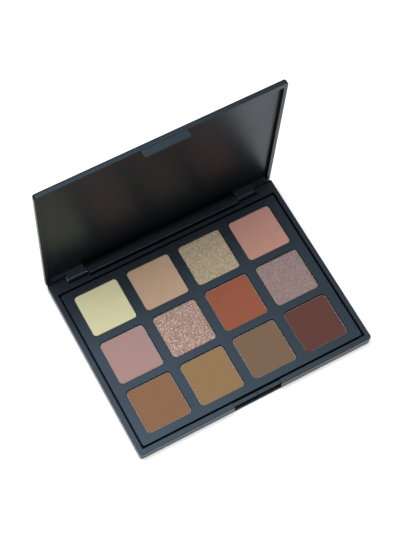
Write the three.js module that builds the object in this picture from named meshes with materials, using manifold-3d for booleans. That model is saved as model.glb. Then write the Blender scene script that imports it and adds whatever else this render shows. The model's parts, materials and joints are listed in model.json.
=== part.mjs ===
// Twelve-pan eyeshadow palette: a slim hinged case with a framed deck and square metal pans.
// Millimetres, +Z up, +X along the hinge, +Y towards the hinge. The origin is the centre of
// the base's underside. The lid is built closed and then turned open about the hinge pins.

import * as THREE from 'three';
import { mergeVertices } from 'three/addons/utils/BufferGeometryUtils.js';
import Module from 'manifold-3d';

const wasm = await Module();
wasm.setup();

// ---- driving dimensions -------------------------------------------------------------------

// Pan grid
const COLUMNS = 4;
const ROW_NAMES = ['front', 'middle', 'back'];
const PAN_SIZE = 26;
const PAN_WALL = 0.2;
const PAN_CORNER_RADIUS = 2;
const PAN_CLEARANCE = 0.2; // gap between a pan and its opening
const COLUMN_BAR = 5.66; // deck left between two openings along X
const ROW_BAR = 4.55; // deck left between two openings along Y
const PAN_LIP_DROP = 1.1; // pan's lip below the deck
const POWDER_DROP = 0.25; // powder edge below the pan's lip
const POWDER_CROWN = 0.12; // rise of the powder from its edge to its flat top
const POWDER_BEVEL = 0.5; // width of that rise
const POWDER_FIT = 0.02; // gap between pressed powder and the pan's wall
const ADHESIVE_SIZE = 16;
const ADHESIVE_THICKNESS = 0.4;

// Deck insert
const DECK_BORDER_X = 5.4;
const DECK_BORDER_FRONT = 4.7;
const DECK_BORDER_BACK = 3.7;
const DECK_THICKNESS = 1.4;
const DECK_DROP = 0.2; // deck below the base's rim
const DECK_RIB = 1.2;
const DECK_CORNER_RADIUS = 1.3;

// Base shell
const BASE_HEIGHT = 7.1;
const FLOOR_THICKNESS = 1.2;
const SIDE_RIM = 2.7;
const FRONT_RIM = 2.9;
const BACK_RIM = 8.7;
const INSERT_GAP = 1.1; // gap round the deck insert
const CASE_CORNER_RADIUS = 1.6;
const WELL_CORNER_RADIUS = 0.5;
const WALL_DRAFT = 0.15; // how far the base draws in towards its underside
const FOOT_ROUNDING = 0.4;
const RIM_ROUNDING = 0.3;

// Lid
const LID_PLATE = 1.3;
const LID_SIDE_RIM = 2.2;
const LID_FRONT_RIM = 3.4;
const LID_BACK_RIM = 3.3;
const LID_OUTER_ROUNDING = 1.1;
const LID_EDGE_EASE = 0.2;
const LID_RECESS_RADIUS = 1.5;
const LID_BACK_RADIUS = 1.6;
const CLOSING_GAP = 0.3; // between the base's rim and the closed lid's rim

// Hinge
const KNUCKLE_RADIUS = 2.3; // lid knuckles, and the round edge behind the base's ends
const SPINE_RISE = 1.7; // how far the spine between the knuckles stands above the rim
const SPINE_FRONT_CUT = 0.5; // spine's front face behind the barrel's front
const SPINE_EDGE_ROUNDING = 0.7; // along the front of the spine's flat top
const SPINE_LID_GAP = 0.4; // between the spine and the closed lid's plate
const HINGE_END_LENGTH = 11.4; // base left outside each knuckle's pocket
const KNUCKLE_LENGTH = 11.2;
const KNUCKLE_SIDE_GAP = 0.5;
const KNUCKLE_FRONT_GAP = 0.9;
const KNUCKLE_FLOOR_GAP = 0.3;
const SPINE_GROOVE = 0.6; // width and depth of the groove along the spine's foot
const LID_BACK_REACH = 1; // lid's back edge behind the hinge axis
const PIN_RADIUS = 0.8;
const PIN_RUNNING_GAP = 0.05;
const PIN_IN_SPINE = 4;
const PIN_END_RECESS = 1;
const REST_OPENING = 87.8; // degrees from closed
const FULL_OPENING = 100; // degrees from closed, at the stop

// Catch
const TAB_WIDTH = 26;
const TAB_REACH = 4.3; // below the lid's rim
const TAB_ROOT = 1; // above the lid's rim, inside the front rim
const TAB_THICKNESS = 0.7;
const TAB_SETBACK = 0.25; // tab's face behind the lid's front face
const TAB_CORNER_RADIUS = 1;
const TAB_CLEARANCE = 0.2; // between the closed tab and the ledge behind it
const SCOOP_SIDE_GAP = 1.2; // finger scoop beyond each end of the tab
const SCOOP_LEDGE_DROP = 0.8;
const SCOOP_LEDGE_THICKNESS = 1;
const SCOOP_DEPTH = 1.9; // under the ledge
const SCOOP_FLOOR = 1.2;
const NIB_LENGTH = 1.6;
const NIB_WIDTH = 0.8;
const NIB_HEIGHT = 0.3;

// Facets
const CORNER_STEPS = 4;
const ROUNDING_STEPS = 3;
const BARREL_STEPS = 20;
const PIN_STEPS = 16;
const OVERCUT = 1; // how far a cutter runs past the face it opens

// ---- places that follow from them ---------------------------------------------------------

const rows = ROW_NAMES.length;
const opening = PAN_SIZE + 2 * PAN_CLEARANCE;
const openingRadius = PAN_CORNER_RADIUS + PAN_CLEARANCE;
const columnPitch = opening + COLUMN_BAR;
const rowPitch = opening + ROW_BAR;
const deckWidth = COLUMNS * opening + (COLUMNS - 1) * COLUMN_BAR + 2 * DECK_BORDER_X;
const gridDepth = rows * opening + (rows - 1) * ROW_BAR;
const deckDepth = DECK_BORDER_FRONT + gridDepth + DECK_BORDER_BACK;
const wellWidth = deckWidth + 2 * INSERT_GAP;
const wellDepth = deckDepth + 2 * INSERT_GAP;
const caseWidth = wellWidth + 2 * SIDE_RIM;
const caseDepth = FRONT_RIM + wellDepth + BACK_RIM;
const frontY = -caseDepth / 2;
const backY = caseDepth / 2;
const wellFrontY = frontY + FRONT_RIM;
const deckFrontY = wellFrontY + INSERT_GAP;
const gridY = deckFrontY + DECK_BORDER_FRONT + gridDepth / 2;
const deckTop = BASE_HEIGHT - DECK_DROP;
const panBottom = FLOOR_THICKNESS + ADHESIVE_THICKNESS;
const panLip = deckTop - PAN_LIP_DROP;

const hingeY = backY - KNUCKLE_RADIUS;
const hingeZ = BASE_HEIGHT - KNUCKLE_RADIUS;
const spineRadius = KNUCKLE_RADIUS + SPINE_RISE;
const spineFrontY = hingeY - spineRadius + SPINE_FRONT_CUT;
const pocketEnd = caseWidth / 2 - HINGE_END_LENGTH;
const knuckleEnd = pocketEnd - KNUCKLE_SIDE_GAP;
const knuckleStart = knuckleEnd - KNUCKLE_LENGTH;
const spineEnd = knuckleStart - KNUCKLE_SIDE_GAP;

const lidRimZ = BASE_HEIGHT + CLOSING_GAP;
const lidPlateZ = hingeZ + spineRadius + SPINE_LID_GAP;
const lidTop = lidPlateZ + LID_PLATE;
const lidBackY = hingeY + LID_BACK_REACH;

const scoopHalf = TAB_WIDTH / 2 + SCOOP_SIDE_GAP;
const tabFrontY = frontY + TAB_SETBACK;
const ledgeZ = BASE_HEIGHT - SCOOP_LEDGE_DROP;
const ledgeFrontY = tabFrontY + TAB_THICKNESS + TAB_CLEARANCE;

// ---- solids -------------------------------------------------------------------------------

/** Makes a manifold solid of a closed three.js geometry. */
function solidOf(geometry) {
  const bare = geometry.index ? geometry.toNonIndexed() : geometry.clone();
  bare.deleteAttribute('normal');
  bare.deleteAttribute('uv');
  const merged = mergeVertices(bare, 1e-5);
  return new wasm.Manifold(new wasm.Mesh({
    numProp: 3,
    vertProperties: new Float32Array(merged.attributes.position.array),
    triVerts: new Uint32Array(merged.index.array),
  }));
}

/** Makes a three.js geometry of a manifold solid. */
function geometryOf(solid) {
  const mesh = solid.getMesh();
  const geometry = new THREE.BufferGeometry();
  geometry.setAttribute('position', new THREE.BufferAttribute(mesh.vertProperties, 3));
  geometry.setIndex(new THREE.BufferAttribute(mesh.triVerts, 1));
  geometry.computeVertexNormals();
  return geometry;
}

/** A rectangle with its own corner radius at the front and at the back. */
function roundedRectangle(left, right, front, back, frontRadius, backRadius = frontRadius) {
  const shape = new THREE.Shape();
  shape.absarc(left + frontRadius, front + frontRadius, frontRadius, Math.PI, 1.5 * Math.PI);
  shape.absarc(right - frontRadius, front + frontRadius, frontRadius, 1.5 * Math.PI, 2 * Math.PI);
  shape.absarc(right - backRadius, back - backRadius, backRadius, 0, 0.5 * Math.PI);
  shape.absarc(left + backRadius, back - backRadius, backRadius, 0.5 * Math.PI, Math.PI);
  shape.closePath();
  return shape;
}

/** A rounded square round a centre. */
function roundedSquare(x, y, size, radius) {
  return roundedRectangle(x - size / 2, x + size / 2, y - size / 2, y + size / 2, radius);
}

/** An upright prism of a plan shape between two heights. */
function prism(shape, bottom, top) {
  const options = { depth: top - bottom, bevelEnabled: false, curveSegments: CORNER_STEPS };
  return new THREE.ExtrudeGeometry(shape, options).translate(0, 0, bottom);
}

/** A block between two corners. */
function block([x0, y0, z0], [x1, y1, z1]) {
  const box = new THREE.BoxGeometry(x1 - x0, y1 - y0, z1 - z0);
  return box.translate((x0 + x1) / 2, (y0 + y1) / 2, (z0 + z1) / 2);
}

/** A bar along X whose section is a shape in the Y-Z plane. */
function barAlongX(section, from, to, curveSegments = BARREL_STEPS / 2) {
  const options = { depth: to - from, bevelEnabled: false, curveSegments };
  const toYZ = new THREE.Matrix4().makeBasis(
    new THREE.Vector3(0, 1, 0), new THREE.Vector3(0, 0, 1), new THREE.Vector3(1, 0, 0));
  return new THREE.ExtrudeGeometry(section, options).applyMatrix4(toYZ).translate(from, 0, 0);
}

/** A round bar on the hinge axis. */
function roundBar(radius, from, to, steps) {
  const bar = new THREE.CylinderGeometry(radius, radius, to - from, steps);
  return bar.rotateZ(Math.PI / 2).translate((from + to) / 2, hingeY, hingeZ);
}

/** A closed skin through a stack of level outlines, each [plan shape, height], lowest first. */
function loft(levels) {
  const rings = levels.map(([shape, z]) => shape.getPoints(CORNER_STEPS)
    .slice(0, -1).map((point) => new THREE.Vector3(point.x, point.y, z)));
  const count = rings[0].length;
  const corners = rings.flat();
  const index = [];
  for (let level = 0; level + 1 < rings.length; level += 1) {
    for (let i = 0; i < count; i += 1) {
      const next = (i + 1) % count;
      const low = level * count;
      const high = low + count;
      index.push(low + i, low + next, high + next, low + i, high + next, high + i);
    }
  }
  const last = corners.length - count;
  for (let i = 1; i + 1 < count; i += 1) {
    index.push(0, i + 1, i, last, last + i, last + i + 1);
  }
  const geometry = new THREE.BufferGeometry().setFromPoints(corners);
  geometry.setIndex(index);
  return geometry;
}

/** Steps of a quarter round: [how far in, how far below the face it meets], ending on the face. */
function quarterRound(radius) {
  return Array.from({ length: ROUNDING_STEPS + 1 }, (_, step) => {
    const angle = (step / ROUNDING_STEPS) * Math.PI / 2;
    return [radius * (1 - Math.cos(angle)), radius * (1 - Math.sin(angle))];
  });
}

// ---- base ---------------------------------------------------------------------------------

/** The base's outline, drawn in on every side. */
function caseOutline(inset) {
  return roundedRectangle(-caseWidth / 2 + inset, caseWidth / 2 - inset,
    frontY + inset, backY - inset, CASE_CORNER_RADIUS - inset);
}

/** The base's outer form: rounded foot, drawn-in walls and an eased rim. */
function baseBody() {
  const footLevels = quarterRound(FOOT_ROUNDING).reverse()
    .map(([inset, rise]) => [caseOutline(WALL_DRAFT + inset), rise]);
  const rimLevels = quarterRound(RIM_ROUNDING)
    .map(([inset, drop]) => [caseOutline(inset), BASE_HEIGHT - drop]);
  return solidOf(loft([...footLevels, ...rimLevels]));
}

/** Takes the square top edge off behind the hinge axis, so that the lid's rim can pass. */
function backEdgeCutter() {
  const corner = block([-caseWidth, hingeY, hingeZ],
    [caseWidth, backY + OVERCUT, BASE_HEIGHT + OVERCUT]);
  return solidOf(corner)
    .subtract(solidOf(roundBar(KNUCKLE_RADIUS, -caseWidth, caseWidth, 2 * BARREL_STEPS)));
}

/** The pocket in which one lid knuckle turns; its floor slopes to meet the knuckle at the stop. */
function pocketCutter(side) {
  const front = hingeY - KNUCKLE_RADIUS - KNUCKLE_FRONT_GAP;
  const floor = hingeZ - KNUCKLE_RADIUS - KNUCKLE_FLOOR_GAP;
  const end = backY + spineRadius;
  const slope = Math.tan(THREE.MathUtils.degToRad(FULL_OPENING - 90));
  const section = new THREE.Shape([
    new THREE.Vector2(front, floor), new THREE.Vector2(hingeY, floor),
    new THREE.Vector2(end, floor - (end - hingeY) * slope),
    new THREE.Vector2(end, BASE_HEIGHT + OVERCUT), new THREE.Vector2(front, BASE_HEIGHT + OVERCUT),
  ]);
  const [from, to] = side > 0 ? [spineEnd, pocketEnd] : [-pocketEnd, -spineEnd];
  return solidOf(barAlongX(section, from, to));
}

/** A hole for one hinge pin, open at the base's side. */
function pinHole(side) {
  const inner = spineEnd - PIN_IN_SPINE;
  const outer = caseWidth / 2 + OVERCUT;
  const [from, to] = side > 0 ? [inner, outer] : [-outer, -inner];
  return solidOf(roundBar(PIN_RADIUS + PIN_RUNNING_GAP, from, to, PIN_STEPS));
}

/** The finger scoop in the front rim: a step for the tab and a hollow under the ledge. */
function scoopCutters() {
  const above = block([-scoopHalf, frontY - OVERCUT, ledgeZ],
    [scoopHalf, wellFrontY + OVERCUT, BASE_HEIGHT + OVERCUT]);
  const step = block([-scoopHalf, frontY - OVERCUT, SCOOP_FLOOR],
    [scoopHalf, ledgeFrontY, ledgeZ + OVERCUT]);
  const hollow = block([-scoopHalf, frontY - OVERCUT, SCOOP_FLOOR],
    [scoopHalf, frontY + SCOOP_DEPTH, ledgeZ - SCOOP_LEDGE_THICKNESS]);
  return solidOf(above).add(solidOf(step)).add(solidOf(hollow));
}

/** The small nib at the middle of the scoop's ledge. */
function catchNib() {
  const middle = (ledgeFrontY + wellFrontY) / 2;
  return solidOf(block([-NIB_LENGTH / 2, middle - NIB_WIDTH / 2, ledgeZ - NIB_HEIGHT],
    [NIB_LENGTH / 2, middle + NIB_WIDTH / 2, ledgeZ + NIB_HEIGHT]));
}

/** The groove along the front foot of the spine. */
function spineGroove() {
  return solidOf(block([-spineEnd, spineFrontY - SPINE_GROOVE, BASE_HEIGHT - SPINE_GROOVE],
    [spineEnd, hingeY, BASE_HEIGHT + OVERCUT]));
}

/** The spine between the knuckles: flat on top in front of the hinge axis, round behind it. */
function spineBar() {
  const top = hingeZ + spineRadius;
  const section = new THREE.Shape();
  section.moveTo(hingeY, 0);
  section.lineTo(hingeY, top);
  section.lineTo(spineFrontY + SPINE_EDGE_ROUNDING, top);
  section.absarc(spineFrontY + SPINE_EDGE_ROUNDING, top - SPINE_EDGE_ROUNDING,
    SPINE_EDGE_ROUNDING, Math.PI / 2, Math.PI);
  section.lineTo(spineFrontY, 0);
  section.closePath();
  const front = solidOf(barAlongX(section, -spineEnd, spineEnd));
  const barrel = solidOf(roundBar(spineRadius, -spineEnd, spineEnd, 2 * BARREL_STEPS));
  const below = block([-caseWidth, frontY, -2 * spineRadius],
    [caseWidth, backY + 2 * spineRadius, 0]);
  return barrel.subtract(solidOf(below)).add(front);
}

function baseShell() {
  const wellShape = roundedRectangle(-wellWidth / 2, wellWidth / 2, wellFrontY,
    wellFrontY + wellDepth, WELL_CORNER_RADIUS);
  const well = solidOf(prism(wellShape, FLOOR_THICKNESS, BASE_HEIGHT + OVERCUT));
  let shell = baseBody().subtract(backEdgeCutter()).subtract(spineGroove()).add(spineBar());
  shell = shell.subtract(well).subtract(scoopCutters()).add(catchNib());
  for (const side of [-1, 1]) {
    shell = shell.subtract(pocketCutter(side)).subtract(pinHole(side));
  }
  return geometryOf(shell);
}

function hingePin(side) {
  const inner = spineEnd - PIN_IN_SPINE;
  const outer = caseWidth / 2 - PIN_END_RECESS;
  const [from, to] = side > 0 ? [inner, outer] : [-outer, -inner];
  return roundBar(PIN_RADIUS, from, to, PIN_STEPS);
}

// ---- deck, pans and powders ---------------------------------------------------------------

/** Centres of the pans, front row first, each with its name's ending. */
function panPlaces() {
  const places = [];
  ROW_NAMES.forEach((rowName, row) => {
    for (let column = 0; column < COLUMNS; column += 1) {
      places.push({
        label: `${rowName}_${column + 1}`,
        x: (column - (COLUMNS - 1) / 2) * columnPitch,
        y: gridY + (row - (rows - 1) / 2) * rowPitch,
      });
    }
  });
  return places;
}

function deckInsert() {
  const left = -deckWidth / 2;
  const front = deckFrontY;
  const back = deckFrontY + deckDepth;
  const outline = roundedRectangle(left, -left, front, back, DECK_CORNER_RADIUS);
  for (const { x, y } of panPlaces()) {
    outline.holes.push(roundedSquare(x, y, opening, openingRadius));
  }
  const skirtShape = roundedRectangle(left, -left, front, back, DECK_CORNER_RADIUS);
  skirtShape.holes.push(roundedRectangle(left + DECK_RIB, -left - DECK_RIB, front + DECK_RIB,
    back - DECK_RIB, DECK_CORNER_RADIUS - DECK_RIB / 2));
  const ribTop = deckTop - DECK_THICKNESS / 2;
  let insert = solidOf(prism(outline, deckTop - DECK_THICKNESS, deckTop));
  insert = insert.add(solidOf(prism(skirtShape, FLOOR_THICKNESS, ribTop)));
  for (let column = 1; column < COLUMNS; column += 1) {
    const x = (column - COLUMNS / 2) * columnPitch;
    insert = insert.add(solidOf(block([x - DECK_RIB / 2, front + DECK_RIB / 2, FLOOR_THICKNESS],
      [x + DECK_RIB / 2, back - DECK_RIB / 2, ribTop])));
  }
  for (let row = 1; row < rows; row += 1) {
    const y = gridY + (row - rows / 2) * rowPitch;
    insert = insert.add(solidOf(block([left + DECK_RIB / 2, y - DECK_RIB / 2, FLOOR_THICKNESS],
      [-left - DECK_RIB / 2, y + DECK_RIB / 2, ribTop])));
  }
  return geometryOf(insert);
}

function adhesivePad({ x, y }) {
  return prism(roundedSquare(x, y, ADHESIVE_SIZE, PAN_CORNER_RADIUS), FLOOR_THICKNESS, panBottom);
}

function pan({ x, y }) {
  const outer = solidOf(prism(roundedSquare(x, y, PAN_SIZE, PAN_CORNER_RADIUS),
    panBottom, panLip));
  const inner = solidOf(prism(
    roundedSquare(x, y, PAN_SIZE - 2 * PAN_WALL, PAN_CORNER_RADIUS - PAN_WALL),
    panBottom + PAN_WALL, panLip + OVERCUT));
  return geometryOf(outer.subtract(inner));
}

function powder({ x, y }) {
  const size = PAN_SIZE - 2 * (PAN_WALL + POWDER_FIT);
  const radius = PAN_CORNER_RADIUS - PAN_WALL - POWDER_FIT;
  const edge = panLip - POWDER_DROP;
  return loft([
    [roundedSquare(x, y, size, radius), panBottom + PAN_WALL],
    [roundedSquare(x, y, size, radius), edge],
    [roundedSquare(x, y, size - 2 * POWDER_BEVEL, radius - POWDER_BEVEL), edge + POWDER_CROWN],
  ]);
}

// ---- lid, built closed --------------------------------------------------------------------

/** The lid's outline, drawn in on every side. */
function lidOutline(inset) {
  return roundedRectangle(-caseWidth / 2 + inset, caseWidth / 2 - inset, frontY + inset,
    lidBackY - inset, CASE_CORNER_RADIUS - inset, LID_BACK_RADIUS - inset);
}

function lidBody() {
  const easedEdge = [[lidOutline(LID_EDGE_EASE), lidRimZ],
    [lidOutline(0), lidRimZ + LID_EDGE_EASE]];
  const roundedTop = quarterRound(LID_OUTER_ROUNDING)
    .map(([inset, drop]) => [lidOutline(inset), lidTop - drop]);
  return solidOf(loft([...easedEdge, ...roundedTop]));
}

/** The shallow recess inside the rim, and the opening in the back rim that clears the spine. */
function lidRecess() {
  const recess = roundedRectangle(-caseWidth / 2 + LID_SIDE_RIM, caseWidth / 2 - LID_SIDE_RIM,
    frontY + LID_FRONT_RIM, lidBackY - LID_BACK_RIM, LID_RECESS_RADIUS);
  const opening = block([-knuckleStart, lidBackY - LID_BACK_RIM - OVERCUT, lidRimZ - OVERCUT],
    [knuckleStart, lidBackY + OVERCUT, lidPlateZ]);
  return solidOf(prism(recess, lidRimZ - OVERCUT, lidPlateZ)).add(solidOf(opening));
}

/** One knuckle: a round foot on the hinge axis, carried up to the lid's outer face. */
function lidKnuckle(side) {
  const rounding = LID_OUTER_ROUNDING;
  const section = new THREE.Shape();
  section.absarc(hingeY, hingeZ, KNUCKLE_RADIUS, Math.PI, 2 * Math.PI);
  section.absarc(hingeY + KNUCKLE_RADIUS - rounding, lidTop - rounding, rounding, 0, Math.PI / 2);
  section.lineTo(hingeY - KNUCKLE_RADIUS, lidTop);
  section.closePath();
  const [from, to] = side > 0 ? [knuckleStart, knuckleEnd] : [-knuckleEnd, -knuckleStart];
  const bore = roundBar(PIN_RADIUS + PIN_RUNNING_GAP, from - OVERCUT, to + OVERCUT, PIN_STEPS);
  return solidOf(barAlongX(section, from, to)).subtract(solidOf(bore));
}

/** The catch tab that hangs from the lid's front rim in front of the scoop's ledge. */
function catchTab() {
  const bottom = lidRimZ - TAB_REACH;
  const half = TAB_WIDTH / 2;
  const face = new THREE.Shape();
  face.absarc(-half + TAB_CORNER_RADIUS, bottom + TAB_CORNER_RADIUS, TAB_CORNER_RADIUS,
    Math.PI, 1.5 * Math.PI);
  face.absarc(half - TAB_CORNER_RADIUS, bottom + TAB_CORNER_RADIUS, TAB_CORNER_RADIUS,
    1.5 * Math.PI, 2 * Math.PI);
  face.lineTo(half, lidRimZ + TAB_ROOT);
  face.lineTo(-half, lidRimZ + TAB_ROOT);
  face.closePath();
  const options = { depth: TAB_THICKNESS, bevelEnabled: false, curveSegments: CORNER_STEPS };
  const tab = new THREE.ExtrudeGeometry(face, options).rotateX(Math.PI / 2);
  return solidOf(tab.translate(0, tabFrontY + TAB_THICKNESS, 0));
}

function lidShell() {
  let lid = lidBody().subtract(lidRecess()).add(catchTab());
  for (const side of [-1, 1]) lid = lid.add(lidKnuckle(side));
  return geometryOf(lid).translate(0, -hingeY, -hingeZ);
}

// ---- materials and assembly ---------------------------------------------------------------

const caseBlack = { color: 0x2a343e, roughness: 0.5, metalness: 0 };
const panMetal = { color: 0xb9bcc0, roughness: 0.35, metalness: 0.9 };
const pinSteel = { color: 0xa8abb0, roughness: 0.3, metalness: 1 };
const foamTape = { color: 0xe6e4dc, roughness: 0.9, metalness: 0 };

const SHIMMER = { roughness: 0.35, metalness: 0.6 };
const MATTE = { roughness: 0.95, metalness: 0 };

// Powder shades, front row first and from left to right.
const SHADES = [
  { color: 0x926b50, ...MATTE }, { color: 0x987a58, ...MATTE },
  { color: 0x7d6450, ...MATTE }, { color: 0x623f3b, ...MATTE },
  { color: 0xaf8d8a, ...MATTE }, { color: 0xb19588, ...SHIMMER },
  { color: 0x965744, ...MATTE }, { color: 0x8f7d79, ...SHIMMER },
  { color: 0xdcd9ae, ...MATTE }, { color: 0xbea289, ...MATTE },
  { color: 0xaaa088, ...SHIMMER }, { color: 0xbc8c80, ...MATTE },
];

function piece(name, geometry, look) {
  const mesh = new THREE.Mesh(geometry, new THREE.MeshStandardMaterial(look));
  mesh.name = name;
  return mesh;
}

const palette = new THREE.Group();
palette.add(piece('base_shell', baseShell(), caseBlack));
palette.add(piece('deck_insert', deckInsert(), caseBlack));
panPlaces().forEach((place, number) => {
  palette.add(piece(`adhesive_${place.label}`, adhesivePad(place), foamTape));
  palette.add(piece(`pan_${place.label}`, pan(place), panMetal));
  palette.add(piece(`powder_${place.label}`, powder(place), SHADES[number % SHADES.length]));
});
palette.add(piece('hinge_pin_left', hingePin(-1), pinSteel));
palette.add(piece('hinge_pin_right', hingePin(1), pinSteel));

const lidPivot = new THREE.Group();
lidPivot.position.set(0, hingeY, hingeZ);
lidPivot.rotation.x = -THREE.MathUtils.degToRad(REST_OPENING);
lidPivot.add(piece('lid_shell', lidShell(), caseBlack));
palette.add(lidPivot);

export default palette;
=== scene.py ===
"""Looks of a twelve-pan eyeshadow palette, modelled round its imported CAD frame.

Metres, in the CAD part's own frame: +Z up, +X along the hinge, +Y towards the hinge.
The lid is modelled shut and then turned open about the hinge.
"""

import json
import logging
import math
from collections.abc import Callable, Iterator, Mapping, Sequence
from contextlib import contextmanager
from dataclasses import dataclass
from enum import Enum
from typing import Union

import bmesh
import bpy
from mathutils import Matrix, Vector


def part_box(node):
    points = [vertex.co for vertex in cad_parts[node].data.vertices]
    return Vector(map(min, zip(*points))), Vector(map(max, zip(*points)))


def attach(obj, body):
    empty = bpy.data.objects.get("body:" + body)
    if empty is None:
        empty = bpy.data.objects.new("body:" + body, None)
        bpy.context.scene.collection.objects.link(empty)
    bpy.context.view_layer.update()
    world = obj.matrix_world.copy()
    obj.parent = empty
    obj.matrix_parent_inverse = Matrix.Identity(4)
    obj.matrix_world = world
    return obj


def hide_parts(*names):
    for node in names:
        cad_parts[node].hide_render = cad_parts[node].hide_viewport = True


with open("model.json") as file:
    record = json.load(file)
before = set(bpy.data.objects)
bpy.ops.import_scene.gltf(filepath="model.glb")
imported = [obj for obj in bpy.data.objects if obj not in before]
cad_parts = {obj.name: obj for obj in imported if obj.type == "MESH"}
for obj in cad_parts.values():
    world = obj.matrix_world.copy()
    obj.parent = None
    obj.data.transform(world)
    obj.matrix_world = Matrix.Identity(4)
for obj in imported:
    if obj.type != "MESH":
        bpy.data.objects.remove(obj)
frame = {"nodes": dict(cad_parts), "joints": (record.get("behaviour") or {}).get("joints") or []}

LOG = logging.getLogger("palette")
MM = 0.001
SAME_PLACE = 0.005 * MM
OVERCUT = 1.0 * MM
CORNER_STEPS = 8
PIN_SIDES = 32
SPINE_SIDES = 72
FLAT_ANGLE = math.radians(0.5)
SHARP_ANGLE = math.radians(35)

Colour = tuple[float, float, float]
Piece = bpy.types.Object


# ---- modelling ----------------------------------------------------------------------------


class Pick(Enum):
    """What an edit-mode selection is made of."""

    EDGE = "EDGE"
    FACE = "FACE"


class Merge(Enum):
    """How one solid is combined with another."""

    ADD = "UNION"
    CUT = "DIFFERENCE"


@dataclass(frozen=True)
class Extent:
    """A box between two corners."""

    low: Vector
    high: Vector

    @classmethod
    def of(cls, node: str) -> "Extent":
        """Takes the box of a CAD node."""
        return cls(*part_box(node))

    @property
    def centre(self) -> Vector:
        """The middle of the box."""
        return (self.low + self.high) / 2

    @property
    def size(self) -> Vector:
        """The box's three sides."""
        return self.high - self.low

    def grown(self, x: float, y: float, z: float = 0.0) -> "Extent":
        """Gives a box larger on every side.

        Args:
            x: Growth at each end along X.
            y: Growth at each end along Y.
            z: Growth at each end along Z.

        Returns:
            The grown box.
        """
        step = Vector((x, y, z))
        return Extent(self.low - step, self.high + step)


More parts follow.
